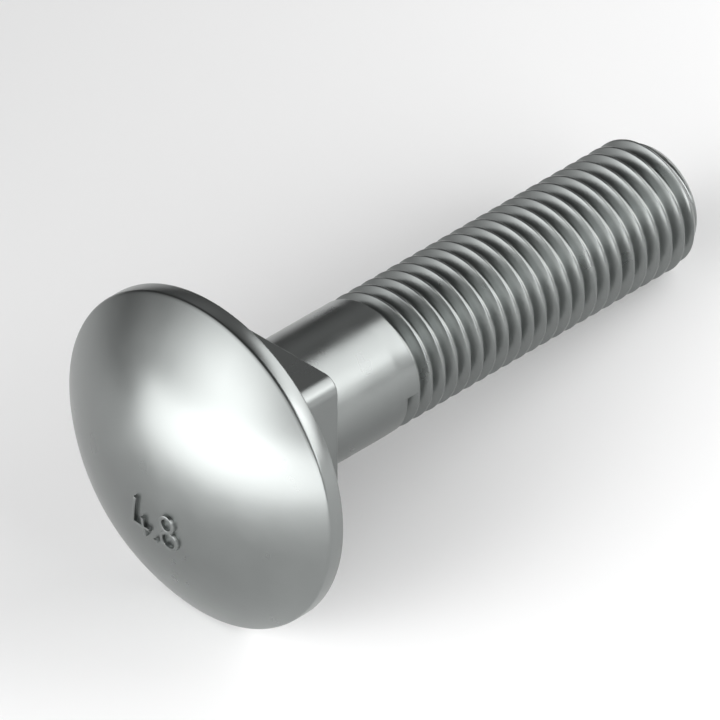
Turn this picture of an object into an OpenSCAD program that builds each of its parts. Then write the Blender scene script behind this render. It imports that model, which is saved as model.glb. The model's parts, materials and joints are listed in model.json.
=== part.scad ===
// Carriage bolt: a low domed head, a square neck that keeps it from turning,
// a plain shank and a fine right-hand thread that starts with one clean step.
// Worked out along its own axis, then laid down as it comes to rest.

/* [Head] */
// Diameter of the head, across the flats of its rim
head_d = 20.6; // [16:0.1:24]
// Height of the head, from the bearing face to the top of the dome
head_h = 4.88; // [3:0.02:7]
// Height of the straight band round the rim
rim_h = 1; // [0.4:0.1:1.8]
// Flats round the rim
rim_flats = 48; // [32:4:60]

/* [Square neck] */
// Width across the flats of the neck
neck_w = 8.5; // [8.2:0.05:10]
// Length of the neck, from the bearing face
neck_h = 5.6; // [3:0.1:9]
// Radius of the four long edges of the neck
neck_corner_r = 1; // [0.3:0.1:1.5]

/* [Shank] */
// Diameter of the plain shank
shank_d = 8; // [6:0.1:8.2]
// Length of the bolt, from the bearing face to the end
bolt_len = 35; // [30:1:80]

/* [Thread] */
// Distance from one thread groove to the next
pitch = 1; // [0.75:0.05:1.5]
// Length of the thread, from the first groove to the end
thread_len = 23.7; // [12:0.1:28]
// How far the thread's crest stays inside the surface of the shank
crest_drop = 0.015; // [0.01:0.005:0.1]
// Flat facets in one turn of the thread
turn_facets = 42; // [26:4:50]

/* [Point] */
// Length of the cone at the end of the bolt, along its axis
point_len = 1; // [0.4:0.1:1.5]
// How far that cone narrows the end, in radius
point_drop = 0.75; // [0.3:0.05:1]

/* [Hidden] */
$fn = 96;

head_r = head_d / 2;
shank_r = shank_d / 2;
crest_r = shank_r - crest_drop;
end_r = crest_r - point_drop;

// The dome is a cap of a sphere that ends on the rim band.
dome_h = head_h - rim_h;
dome_r = (head_r * head_r + dome_h * dome_h) / (2 * dome_h);
dome_z = dome_r - head_h;

// Metric thread form: flanks 60 degrees apart, a flat crest an eighth of the
// pitch wide and a root a quarter of the pitch wide.
flank_angle = 30;
crest_w = pitch / 8;
root_w = pitch / 4;
mouth_w = pitch - crest_w;
thread_depth = (mouth_w - root_w) / 2 / tan(flank_angle);
root_r = crest_r - thread_depth;

// The first groove starts on the side of the bolt, a quarter turn before the
// line that faces the floor.
start_angle = 270;
thread_z = bolt_len - thread_len;
first_z = thread_z + mouth_w / 2;

// The swept thread runs on past both ends: its foot is inside the shank, and
// the cut that forms the point takes off its top.
whole_turns = ceil((bolt_len - first_z) / pitch) + 1;
steps = turn_facets * whole_turns;
shank_end_z = thread_z - pitch / 8;
foot_z = thread_z - pitch / 2;
top_z = first_z + whole_turns * pitch + mouth_w;

// Lying down, the bolt touches the floor with the edge of its bearing face
// and with the last whole crest, so its axis dips toward the end.
quarter_z = thread_z + pitch / 4;
last_crest_z = quarter_z + pitch * floor((bolt_len - point_len - quarter_z) / pitch);
dip = atan((head_r - crest_r) / last_crest_z);
rest_z = head_r * cos(dip);
far_x = bolt_len * cos(dip) + end_r * sin(dip);
near_x = dome_z * cos(dip) - dome_r;
rest_x = -(far_x + near_x) / 2;

// Corners of the groove from its lower lip to its upper lip, as radius and
// height above the middle of the groove.
groove = [
    [crest_r, -mouth_w / 2],
    [root_r, -root_w / 2],
    [root_r, root_w / 2],
    [crest_r, mouth_w / 2]
];

function turned(r, i, z) =
    let (a = start_angle + 360 * i / turn_facets) [r * cos(a), r * sin(a), z];

// Numbers of the points: four for each step, then the two end rings.
function lip(i, k) = 4 * i + k;
function foot(i) = 4 * (steps + 1) + i % turn_facets;
function top(i) = foot(i) + turn_facets;

// A rod with one helical groove, flat at both ends.
module threaded_rod() {
    rows = [for (i = [0:steps], g = groove)
        turned(g[0], i, first_z + g[1] + pitch * i / turn_facets)];
    ends = [for (z = [foot_z, top_z], i = [0:turn_facets - 1])
        turned(crest_r, i, z)];

    // The floor and both flanks of the groove.
    sides = [for (i = [0:steps - 1], k = [0:2], half = [0, 1])
        half == 0
            ? [lip(i, k), lip(i, k + 1), lip(i + 1, k)]
            : [lip(i + 1, k), lip(i, k + 1), lip(i + 1, k + 1)]];
    // The crest, from the upper lip of one turn to the lower lip of the next.
    crest = [for (i = [0:steps - turn_facets - 1], half = [0, 1])
        let (n = i + turn_facets)
        half == 0
            ? [lip(i, 3), lip(n, 0), lip(i + 1, 3)]
            : [lip(i + 1, 3), lip(n, 0), lip(n + 1, 0)]];
    // The plain bands below the first turn and above the last one.
    below = [for (i = [0:turn_facets - 2])
        [foot(i), lip(i, 0), lip(i + 1, 0), foot(i + 1)]];
    last = steps - turn_facets;
    above = [for (i = [last + 1:steps - 1])
        [lip(i, 3), top(i), top(i + 1), lip(i + 1, 3)]];
    // Where a band closes on itself it meets both lips of a groove's end.
    start_i = turn_facets - 1;
    below_seam = [foot(start_i), lip(start_i, 0), lip(turn_facets, 0),
        lip(0, 3), lip(0, 0), foot(0)];
    above_seam = [lip(last, 3), lip(steps, 0), lip(steps, 3), top(0), top(1),
        lip(last + 1, 3)];
    // The steps that close the groove at its start and its end.
    start_step = [for (k = [0:3]) lip(0, 3 - k)];
    end_step = [for (k = [0:3]) lip(steps, k)];
    foot_ring = [for (i = [0:turn_facets - 1]) foot(i)];
    top_ring = [for (i = [0:turn_facets - 1]) top(turn_facets - 1 - i)];

    polyhedron(
        points = concat(rows, ends),
        faces = concat(sides, crest, below, above,
            [below_seam, above_seam, start_step, end_step, foot_ring, top_ring])
    );
}

// Everything beyond the end face and outside the cone of the point.
module point_cut() {
    out = pitch;
    slope = point_len / point_drop;
    rotate_extrude()
        polygon([
            [0, bolt_len],
            [end_r, bolt_len],
            [crest_r + out, bolt_len - point_len - out * slope],
            [crest_r + out, top_z + out],
            [0, top_z + out]
        ]);
}

// The rim has narrow flats and the bolt lies on one of them, as the thread lies
// on a flat of its crest, so it stays where it is laid and doesn't roll.
module head() {
    corner_r = head_r / cos(180 / rim_flats);
    rim = [for (i = [0:rim_flats - 1])
        let (a = 360 * (i + 0.5) / rim_flats) corner_r * [cos(a), sin(a)]];
    intersection() {
        translate([0, 0, -head_h]) linear_extrude(head_h) polygon(rim);
        translate([0, 0, dome_z]) sphere(r = dome_r, $fn = 240);
    }
}

// The neck starts inside the head, so the two are one forging.
module square_neck() {
    sunk = rim_h / 2;
    flat_w = neck_w - 2 * neck_corner_r;
    reach = flat_w / 2;
    translate([0, 0, -sunk]) linear_extrude(neck_h + sunk) {
        square([neck_w, flat_w], center = true);
        square([flat_w, neck_w], center = true);
        for (x = [-reach, reach], y = [-reach, reach])
            translate([x, y]) circle(r = neck_corner_r, $fn = 32);
    }
}

module plain_shank() {
    cylinder(r = shank_r, h = shank_end_z);
}

module thread() {
    difference() {
        threaded_rod();
        point_cut();
    }
}

// One piece of metal, laid on the floor with its dome toward -X.
module bolt() {
    color("silver")
        translate([rest_x, 0, rest_z]) rotate([0, 90 + dip, 0]) {
            head();
            square_neck();
            plain_shank();
            thread();
        }
}

bolt();
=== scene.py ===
import json
from math import asin, atan2, hypot, pi, radians, sin, cos, sqrt, tan

import bmesh
import bpy
from mathutils import Matrix, Vector


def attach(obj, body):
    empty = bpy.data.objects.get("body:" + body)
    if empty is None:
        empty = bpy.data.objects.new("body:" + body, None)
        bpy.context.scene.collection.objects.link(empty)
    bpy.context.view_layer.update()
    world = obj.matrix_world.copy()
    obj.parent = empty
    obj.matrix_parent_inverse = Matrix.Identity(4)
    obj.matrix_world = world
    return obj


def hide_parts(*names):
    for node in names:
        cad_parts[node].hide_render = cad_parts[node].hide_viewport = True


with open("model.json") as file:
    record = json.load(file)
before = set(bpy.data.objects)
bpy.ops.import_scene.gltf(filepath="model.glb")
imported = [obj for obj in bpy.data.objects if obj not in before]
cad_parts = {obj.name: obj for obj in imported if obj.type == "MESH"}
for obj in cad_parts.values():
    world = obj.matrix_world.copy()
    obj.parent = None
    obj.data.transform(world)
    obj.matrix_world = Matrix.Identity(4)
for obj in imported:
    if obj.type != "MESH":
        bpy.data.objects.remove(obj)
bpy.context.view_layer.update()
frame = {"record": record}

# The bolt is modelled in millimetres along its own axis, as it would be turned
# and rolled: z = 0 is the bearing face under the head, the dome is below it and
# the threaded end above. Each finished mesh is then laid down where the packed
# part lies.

MM = 0.001

# Head
HEAD_R = 10.3
HEAD_H = 4.88
RIM_H = 1.0
RIM_EDGE = 0.1
DOME_H = HEAD_H - RIM_H
DOME_R = (HEAD_R ** 2 + DOME_H ** 2) / (2 * DOME_H)
DOME_Z = DOME_R - HEAD_H

# Square neck
NECK_W = 8.5
NECK_LEN = 5.6
NECK_CORNER = 1.0
NECK_EDGE = 0.1

# Shank and thread
SHANK_R = 4.0
BOLT_LEN = 35.0
PITCH = 1.0
THREAD_LEN = 23.7
CREST_R = SHANK_R - 0.015
THREAD_DEPTH = 0.6134 * PITCH
ROOT_R = CREST_R - THREAD_DEPTH
MOUTH_W = PITCH * 7 / 8
FLANK = radians(30)
ROOT_W = MOUTH_W - 2 * THREAD_DEPTH * tan(FLANK)
ROOT_ROUND = 0.144 * PITCH
CREST_ROUND = 0.06 * PITCH
POINT_LEN = 1.0
POINT_DROP = 0.75
THREAD_Z = BOLT_LEN - THREAD_LEN
FIRST_GROOVE_Z = THREAD_Z + MOUTH_W / 2
GROOVE_START = radians(270)

# Raised strength numerals, measured on the dome as it faces you
STROKE_W = 0.21
STROKE_H = 0.24
STROKE_SUNK = 0.1
STROKE_EDGE = 0.06

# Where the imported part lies
mounts = {m["name"]: m for m in frame["record"]["mounts"]}
axis = Vector(mounts["square_neck"]["axis"]).normalized()
bearing = Vector(mounts["square_neck"]["pos_m"]) - axis * (NECK_LEN / 2 * MM)
dip = atan2(-axis.z, axis.x)
lay_down = (
    Matrix.Translation(bearing)
    @ Matrix.Rotation(pi / 2 + dip, 4, "Y")
    @ Matrix.Scale(MM, 4)
)


# Materials

def colour(hex_code):
    """A colour written as #rrggbb, turned from sRGB to linear."""
    parts = [int(hex_code[i:i + 2], 16) / 255 for i in (1, 3, 5)]
    linear = [p / 12.92 if p <= 0.04045 else ((p + 0.055) / 1.055) ** 2.4 for p in parts]
    return (*linear, 1.0)


def add_node(tree, kind, settings=None, values=None, links=None):
    """One node, with its settings, its own socket values, and what is linked into it."""
    node = tree.nodes.new(kind)
    for name, value in (settings or {}).items():
        setattr(node, name, value)
    for name, value in (values or {}).items():
        node.inputs[name].default_value = value
    for name, socket in (links or {}).items():
        tree.links.new(socket, node.inputs[name])
    return node


def new_material(name):
    material = bpy.data.materials.new(name)
    material.use_nodes = True
    material.node_tree.nodes.clear()
    return material, material.node_tree


def bright_zinc_steel():
    """Cold-forged steel with a thin bright zinc plating, smooth from the dies and
    satin from the bath: a neutral grey metal with soft-edged reflections. Faint
    clouds in the plating shift its gloss, and its grain barely stirs the light."""
    material, tree = new_material("bright_zinc_steel")
    place = add_node(tree, "ShaderNodeTexCoord").outputs["Object"]
    cloud_size = 2.5 * MM
    grain_size = 0.06 * MM
    clouds = add_node(
        tree, "ShaderNodeTexNoise", {},
        {"Scale": 1 / cloud_size, "Detail": 3.0, "Roughness": 0.5}, {"Vector": place})
    grain = add_node(
        tree, "ShaderNodeTexNoise", {},
        {"Scale": 1 / grain_size, "Detail": 2.0, "Roughness": 0.5}, {"Vector": place})
    tint = add_node(
        tree, "ShaderNodeMix", {"data_type": "RGBA"}, {}, {"Factor": clouds.outputs["Fac"]})
    tint.inputs["A"].default_value = colour("#898c8b")
    tint.inputs["B"].default_value = colour("#919493")
    gloss = add_node(
        tree, "ShaderNodeMapRange", {},
        {"From Min": 0.3, "From Max": 0.7, "To Min": 0.27, "To Max": 0.33},
        {"Value": clouds.outputs["Fac"]})
    skin = add_node(
        tree, "ShaderNodeBump", {},
        {"Strength": 0.03, "Distance": 0.01 * MM}, {"Height": grain.outputs["Fac"]})
    steel = add_node(
        tree, "ShaderNodeBsdfPrincipled", {}, {"Metallic": 1.0},
        {"Base Color": tint.outputs["Result"], "Roughness": gloss.outputs["Result"],
         "Normal": skin.outputs["Normal"]})
    add_node(tree, "ShaderNodeOutputMaterial", {}, {}, {"Surface": steel.outputs["BSDF"]})
    return material


def white_card():
    """Matt white background card: no gloss, so it only takes the bolt's soft shadow."""
    material, tree = new_material("white_card")
    card = add_node(
        tree, "ShaderNodeBsdfDiffuse", {}, {"Color": colour("#f4f4f4"), "Roughness": 0.5})
    add_node(tree, "ShaderNodeOutputMaterial", {}, {}, {"Surface": card.outputs["BSDF"]})
    return material


# Making a piece

SHARP = radians(32)


def keep_piece(bm, name, material):
    """Turns a mesh's faces outward, lays it down and makes it a piece of the bolt."""
    bmesh.ops.recalc_face_normals(bm, faces=bm.faces[:])
    bmesh.ops.transform(bm, matrix=lay_down, verts=bm.verts[:])
    mesh = bpy.data.meshes.new(name)
    bm.to_mesh(mesh)
    bm.free()
    mesh.shade_smooth()
    mesh.set_sharp_from_angle(angle=SHARP)
    mesh.materials.append(material)
    piece = bpy.data.objects.new(name, mesh)
    bpy.context.scene.collection.objects.link(piece)
    # Flat faces keep their own normal next to a small rounded edge.
    even = piece.modifiers.new("even_normals", "WEIGHTED_NORMAL")
    even.keep_sharp = True
    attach(piece, "root")
    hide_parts("bolt")
    return piece


def close_holes(bm):
    bmesh.ops.holes_fill(bm, edges=[e for e in bm.edges if e.is_boundary], sides=0)


def soften(bm, edges, width, segments=3):
    bmesh.ops.bevel(
        bm, geom=edges, offset=width, offset_type="OFFSET", segments=segments,
        profile=0.5, affect="EDGES", material=-1)


def rounded(corners, steps):
    """A line through corners, each (r, z, radius), with an arc of that radius in each.
    A corner of radius 0 stays sharp."""
    points = []
    for i, (r, z, radius) in enumerate(corners):
        corner = Vector((r, z))
        if radius == 0:
            points.append(corner)
            continue
        back = (Vector(corners[i - 1][:2]) - corner).normalized()
        ahead = (Vector(corners[i + 1][:2]) - corner).normalized()
        half = back.angle(ahead) / 2
        middle = corner + (back + ahead).normalized() * (radius / sin(half))
        start = corner + back * (radius / tan(half)) - middle
        end = corner + ahead * (radius / tan(half)) - middle
        for k in range(steps + 1):
            points.append(middle + start.slerp(end, k / steps).normalized() * radius)
    return points


# Head: a cap of a sphere over a straight rim band

DOME_STEPS = 48
HEAD_STEPS = 192


def forge_head(material):
    bm = bmesh.new()
    top = bm.verts.new((0, 0, -HEAD_H))
    bmesh.ops.spin(
        bm, geom=[top], cent=(0, 0, DOME_Z), axis=(0, 1, 0),
        angle=-asin(HEAD_R / DOME_R), steps=DOME_STEPS, use_merge=False)
    dome_end = max(bm.verts, key=lambda v: v.co.x)
    rim_end = bm.verts.new((HEAD_R, 0, 0))
    middle = bm.verts.new((0, 0, 0))
    bm.edges.new((dome_end, rim_end))
    bm.edges.new((rim_end, middle))
    bmesh.ops.spin(
        bm, geom=bm.verts[:] + bm.edges[:], cent=(0, 0, 0), axis=(0, 0, 1),
        angle=2 * pi, steps=HEAD_STEPS, use_merge=True)
    bmesh.ops.remove_doubles(bm, verts=bm.verts[:], dist=1e-4)
    rim_loops = [
        e for e in bm.edges
        if all(abs(hypot(v.co.x, v.co.y) - HEAD_R) < 1e-3 for v in e.verts)
        and abs(e.verts[0].co.z - e.verts[1].co.z) < 1e-4]
    soften(bm, rim_loops, RIM_EDGE)
    return keep_piece(bm, "head", material)


# Square neck, with its long edges well rounded

NECK_CORNER_STEPS = 12


def forge_neck(material):
    bm = bmesh.new()
    half = NECK_W / 2
    foot_z = -RIM_H / 2
    corners = [
        bm.verts.new((x, y, foot_z))
        for x, y in ((half, half), (-half, half), (-half, -half), (half, -half))]
    bm.faces.new(corners)
    bmesh.ops.bevel(
        bm, geom=corners, offset=NECK_CORNER, offset_type="OFFSET",
        segments=NECK_CORNER_STEPS, profile=0.5, affect="VERTICES", material=-1)
    grown = bmesh.ops.extrude_face_region(bm, geom=bm.faces[:])["geom"]
    raised = [g for g in grown if isinstance(g, bmesh.types.BMVert)]
    bmesh.ops.translate(bm, verts=raised, vec=(0, 0, NECK_LEN - foot_z))
    close_holes(bm)
    end_loop = [e for e in bm.edges if all(v.co.z > NECK_LEN - 1e-3 for v in e.verts)]
    soften(bm, end_loop, NECK_EDGE)
    return keep_piece(bm, "square_neck", material)


# Plain shank and rolled thread in one skin

TURN_STEPS = 72
ARC_STEPS = 5
PROFILE_STEP = 0.09


def thread_profile():
    """One pitch of the thread, from the middle of a crest to the middle of the next."""
    half, mouth, root = PITCH / 2, MOUTH_W / 2, ROOT_W / 2
    corners = [
        (CREST_R, -half, 0), (CREST_R, -mouth, CREST_ROUND),
        (ROOT_R, -root, ROOT_ROUND), (ROOT_R, root, ROOT_ROUND),
        (CREST_R, mouth, CREST_ROUND), (CREST_R, half, 0)]
    line = rounded(corners, ARC_STEPS)
    split = []
    for a, b in zip(line, line[1:]):
        parts = max(1, round((b - a).length / PROFILE_STEP))
        split += [a.lerp(b, k / parts) for k in range(parts)]
    return split + [line[-1]]


def roll_thread(material):
    bm = bmesh.new()
    turned = Matrix.Rotation(GROOVE_START, 4, "Z")
    first = [
        bm.verts.new(turned @ Vector((p.x, 0, FIRST_GROOVE_Z + p.y)))
        for p in thread_profile()]
    for a, b in zip(first, first[1:]):
        bm.edges.new((a, b))

    # Each step turns the profile and lifts it, so a whole turn climbs one pitch
    # and the ribbon's two edges meet in the middle of the crest.
    bmesh.ops.spin(
        bm, geom=bm.verts[:] + bm.edges[:], cent=(0, 0, 0), axis=(0, 0, 1),
        dvec=(0, 0, PITCH / TURN_STEPS), angle=2 * pi, steps=TURN_STEPS, use_merge=False)
    turn = bm.verts[:] + bm.edges[:] + bm.faces[:]
    for n in range(1, int((BOLT_LEN - FIRST_GROOVE_Z) / PITCH) + 2):
        copied = bmesh.ops.duplicate(bm, geom=turn)["geom"]
        moved = [g for g in copied if isinstance(g, bmesh.types.BMVert)]
        bmesh.ops.translate(bm, verts=moved, vec=(0, 0, PITCH * n))
    bmesh.ops.remove_doubles(bm, verts=bm.verts[:], dist=1e-3)

    # The ribbon runs on past the end and is cut off there.
    whole = bm.verts[:] + bm.edges[:] + bm.faces[:]
    bmesh.ops.bisect_plane(
        bm, geom=whole, dist=1e-5, plane_co=(0, 0, BOLT_LEN), plane_no=(0, 0, 1),
        clear_outer=True)

    def at_start(z):
        place = turned @ Vector((CREST_R, 0, z))
        return min(bm.verts, key=lambda v: (v.co - place).length)

    start_low = at_start(FIRST_GROOVE_Z - PITCH / 2)
    start_high = at_start(FIRST_GROOVE_Z + PITCH / 2)

    # The first turn's lower edge is drawn down to a level ring: the plain shank.
    lower_edge = [
        e for e in bm.edges
        if e.is_boundary and all(
            abs(hypot(v.co.x, v.co.y) - CREST_R) < 1e-4
            and v.co.z < FIRST_GROOVE_Z + PITCH / 2 + 1e-4 for v in e.verts)
        and abs(e.verts[0].co.xy.angle(e.verts[1].co.xy)) > 1e-4]
    band_z = THREAD_Z - PITCH / 4
    drawn = bmesh.ops.extrude_edge_only(bm, edges=lower_edge)["geom"]
    ring = [g for g in drawn if isinstance(g, bmesh.types.BMVert)]
    for v in ring:
        v.co.z = band_z
    bmesh.ops.remove_doubles(bm, verts=ring, dist=1e-3)

    # The seam of that band passes the groove's start, so it gets a point there.
    seam = next(
        e for e in start_high.link_edges if e.other_vert(start_high).co.z < band_z + 1e-4)
    reach = (start_high.co - start_low.co).length / seam.calc_length()
    _, joint = bmesh.utils.edge_split(seam, start_high, reach)
    bmesh.ops.weld_verts(bm, targetmap={joint: start_low})

    # Plain shank below the band, into the neck.
    def level(z):
        return [e for e in bm.edges if e.is_boundary
                and all(abs(v.co.z - z) < 1e-4 for v in e.verts)]

    for z, r in ((band_z - PITCH / 4, SHANK_R), (NECK_LEN / 2, SHANK_R)):
        lowest = min(v.co.z for v in bm.verts)
        drawn = bmesh.ops.extrude_edge_only(bm, edges=level(lowest))["geom"]
        for v in (g for g in drawn if isinstance(g, bmesh.types.BMVert)):
            v.co.xy = v.co.xy.normalized() * r
            v.co.z = z

    # The cone of the point presses in all that stands outside it.
    cone_z = BOLT_LEN - POINT_LEN
    for v in bm.verts:
        if v.co.z > cone_z:
            most = CREST_R - (v.co.z - cone_z) * POINT_DROP / POINT_LEN
            if v.co.xy.length > most:
                v.co.xy = v.co.xy.normalized() * most
    close_holes(bm)
    return keep_piece(bm, "threaded_shank", material)


# Raised numerals: the plain strength grade that any bolt of this kind carries

CUT_EVERY = 0.3
LOOP_STEPS = 40


def stroke(bm, start, end):
    """A straight raised stroke, cut across so that it can follow the dome. Returns how
    it is moved to lie between two places (right, up) on the face of the dome."""
    a, b = Vector(start), Vector(end)
    along = b - a
    made = bmesh.ops.create_cube(bm, size=1.0)["verts"]
    length = along.length + STROKE_W
    bmesh.ops.scale(bm, vec=(length, STROKE_W, STROKE_H + STROKE_SUNK), verts=made)
    long_edges = [e for e in bm.edges if abs(e.verts[0].co.x - e.verts[1].co.x) > length / 2]
    cuts = int(along.length / CUT_EVERY)
    bmesh.ops.subdivide_edges(bm, edges=long_edges, cuts=cuts, use_grid_fill=True)
    return (Matrix.Translation(((a + b) / 2).to_3d())
            @ Matrix.Rotation(atan2(along.y, along.x), 4, "Z"))


def numeral_strokes():
    """The strokes of each numeral: straight ones by their ends, loops by centre and radii."""
    left, right = -1.47, -0.25
    bar_v = -2.95
    straight = [
        ((-1.06, -1.1), (left, bar_v)),
        ((left, bar_v), (right, bar_v)),
        ((-0.63, -2.36), (-0.63, -3.5)),
        ((0.21, -3.52), (0.23, -3.52)),
    ]
    loops = [((1.3, -1.8), (0.42, 0.52)), ((1.3, -2.98), (0.52, 0.6))]
    return straight, loops


def raise_numerals(material):
    """Strokes stand square out of the dome along the bolt's axis, as a die leaves them."""
    bm = bmesh.new()
    straight, loops = numeral_strokes()
    for start, end in straight:
        one = bmesh.new()
        place = stroke(one, start, end)
        bmesh.ops.transform(one, matrix=place, verts=one.verts[:])
        join(bm, one)
    for centre, radii in loops:
        one = bmesh.new()
        corners = [
            one.verts.new((radii[0] + x * STROKE_W / 2, 0, z * (STROKE_H + STROKE_SUNK) / 2))
            for x, z in ((-1, -1), (1, -1), (1, 1), (-1, 1))]
        edges = [one.edges.new((corners[k - 1], corners[k])) for k in range(4)]
        bmesh.ops.spin(
            one, geom=corners + edges, cent=(0, 0, 0), axis=(0, 0, 1), angle=2 * pi,
            steps=LOOP_STEPS, use_merge=True)
        bmesh.ops.remove_doubles(one, verts=one.verts[:], dist=1e-4)
        bmesh.ops.scale(one, vec=(1, radii[1] / radii[0], 1), verts=one.verts[:])
        bmesh.ops.translate(one, vec=(centre[0], centre[1], 0), verts=one.verts[:])
        join(bm, one)
    top = (STROKE_H + STROKE_SUNK) / 2
    for v in bm.verts:
        right, up, height = v.co
        on_dome = DOME_Z - sqrt(DOME_R ** 2 - right ** 2 - up ** 2)
        v.co = (-up, -right, on_dome - height - top + STROKE_SUNK)
    return keep_piece(bm, "strength_numerals", material)


def join(bm, one):
    """Softens one stroke's upper edges and adds it to the numerals."""
    bmesh.ops.recalc_face_normals(one, faces=one.faces[:])
    top = max(v.co.z for v in one.verts)
    upper = [
        e for e in one.edges
        if all(v.co.z > top - 1e-4 for v in e.verts) and e.is_manifold
        and e.calc_face_angle() > 1]
    soften(one, upper, STROKE_EDGE, 2)
    mesh = bpy.data.meshes.new("stroke")
    one.to_mesh(mesh)
    one.free()
    bm.from_mesh(mesh)
    bpy.data.meshes.remove(mesh)


# Studio

# Width of the picture, its scale, and where the middle of the bearing face falls in it
PHOTO_PX = 720
PX_PER_MM = 18.073
BEARING_PX = (211.95, 452.19)
CAMERA_DISTANCE = 1500.0
SENSOR_WIDTH = 36.0
FLOOR_R = 3000.0


def set_camera():
    """An isometric view along the bolt's own axes, through a very long lens. The middle
    of the bearing face falls where the photo has it."""
    turn = Matrix.Rotation(dip, 3, "Y")
    right = turn @ Vector((1, -1, 0)).normalized()
    up = turn @ Vector((1, 1, 2)).normalized()
    back = turn @ Vector((-1, -1, 1)).normalized()
    middle_px = (PHOTO_PX - 1) / 2
    across = (middle_px - BEARING_PX[0]) / PX_PER_MM
    above = (BEARING_PX[1] - middle_px) / PX_PER_MM
    aim = bearing + (right * across + up * above) * MM
    lens = bpy.data.cameras.new("camera")
    lens.sensor_width = SENSOR_WIDTH
    lens.lens = CAMERA_DISTANCE * lens.sensor_width * PX_PER_MM / PHOTO_PX
    lens.clip_start, lens.clip_end = 0.1, 100.0
    camera = bpy.data.objects.new("camera", lens)
    turned = Matrix((right, up, back)).transposed().to_4x4()
    camera.matrix_world = Matrix.Translation(aim + back * (CAMERA_DISTANCE * MM)) @ turned
    bpy.context.scene.collection.objects.link(camera)
    bpy.context.scene.camera = camera


def lay_floor(material):
    bm = bmesh.new()
    bmesh.ops.create_circle(bm, cap_ends=True, segments=96, radius=FLOOR_R * MM)
    mesh = bpy.data.meshes.new("floor")
    bm.to_mesh(mesh)
    bm.free()
    mesh.materials.append(material)
    floor = bpy.data.objects.new("floor", mesh)
    bpy.context.scene.collection.objects.link(floor)


# Broad glows on the walls of a dark room: azimuth and elevation in degrees, how
# narrow each is, and how bright. They are on the dome's side of the room, with a
# faint one past the threaded end; the rest stays dark, for the metal's dark edges.
GLOWS = (
    (180, 20, 13, 3.0),
    (160, 35, 13, 2.6),
    (130, 8, 13, 0.57),
    (40, 35, 13, 0.33),
)

# Softboxes near the bolt: place and size in millimetres, and power in watts
SOFTBOXES = (
    ("low_softbox", (-72, -10, 15), (150, 28), 0.045),
    ("front_softbox", (30, -140, 70), (140, 100), 0.15),
    ("right_softbox", (75, -45, 70), (110, 70), 0.068),
)


def set_sky():
    world = bpy.data.worlds.new("studio")
    bpy.context.scene.world = world
    world.use_nodes = True
    tree = world.node_tree
    tree.nodes.clear()
    way = add_node(tree, "ShaderNodeTexCoord").outputs["Generated"]
    light = add_node(tree, "ShaderNodeValue").outputs["Value"]
    light.default_value = 0.0
    for azimuth, elevation, narrow, bright in GLOWS:
        level = cos(radians(elevation))
        middle = (cos(radians(azimuth)) * level, sin(radians(azimuth)) * level,
                  sin(radians(elevation)))
        facing = add_node(
            tree, "ShaderNodeVectorMath", {"operation": "DOT_PRODUCT"}, {1: middle}, {0: way})
        fading = add_node(
            tree, "ShaderNodeMath", {"operation": "MULTIPLY_ADD"}, {1: narrow, 2: -narrow},
            {0: facing.outputs["Value"]})
        glow = add_node(
            tree, "ShaderNodeMath", {"operation": "EXPONENT"}, {}, {0: fading.outputs["Value"]})
        light = add_node(
            tree, "ShaderNodeMath", {"operation": "MULTIPLY_ADD"}, {1: bright},
            {0: glow.outputs["Value"], 2: light}).outputs["Value"]
    sky = add_node(tree, "ShaderNodeBackground", {}, {}, {"Strength": light})
    sky.inputs["Color"].default_value = (1.0, 1.0, 1.0, 1.0)
    add_node(tree, "ShaderNodeOutputWorld", {}, {}, {"Surface": sky.outputs["Background"]})


def hang_softbox(name, place, size, power):
    """A soft lamp, the given size across and high, that faces the bolt."""
    lamp = bpy.data.lights.new(name, "AREA")
    lamp.shape = "RECTANGLE"
    lamp.size, lamp.size_y = size[0] * MM, size[1] * MM
    lamp.energy = power
    holder = bpy.data.objects.new(name, lamp)
    place = Vector(place) * MM
    holder.matrix_world = (
        Matrix.Translation(place) @ place.to_track_quat("Z", "Y").to_matrix().to_4x4())
    bpy.context.scene.collection.objects.link(holder)


set_camera()
steel = bright_zinc_steel()
forge_head(steel)
forge_neck(steel)
roll_thread(steel)
raise_numerals(steel)
lay_floor(white_card())
set_sky()
for softbox in SOFTBOXES:
    hang_softbox(*softbox)
bpy.context.scene.view_settings.view_transform = "Standard"
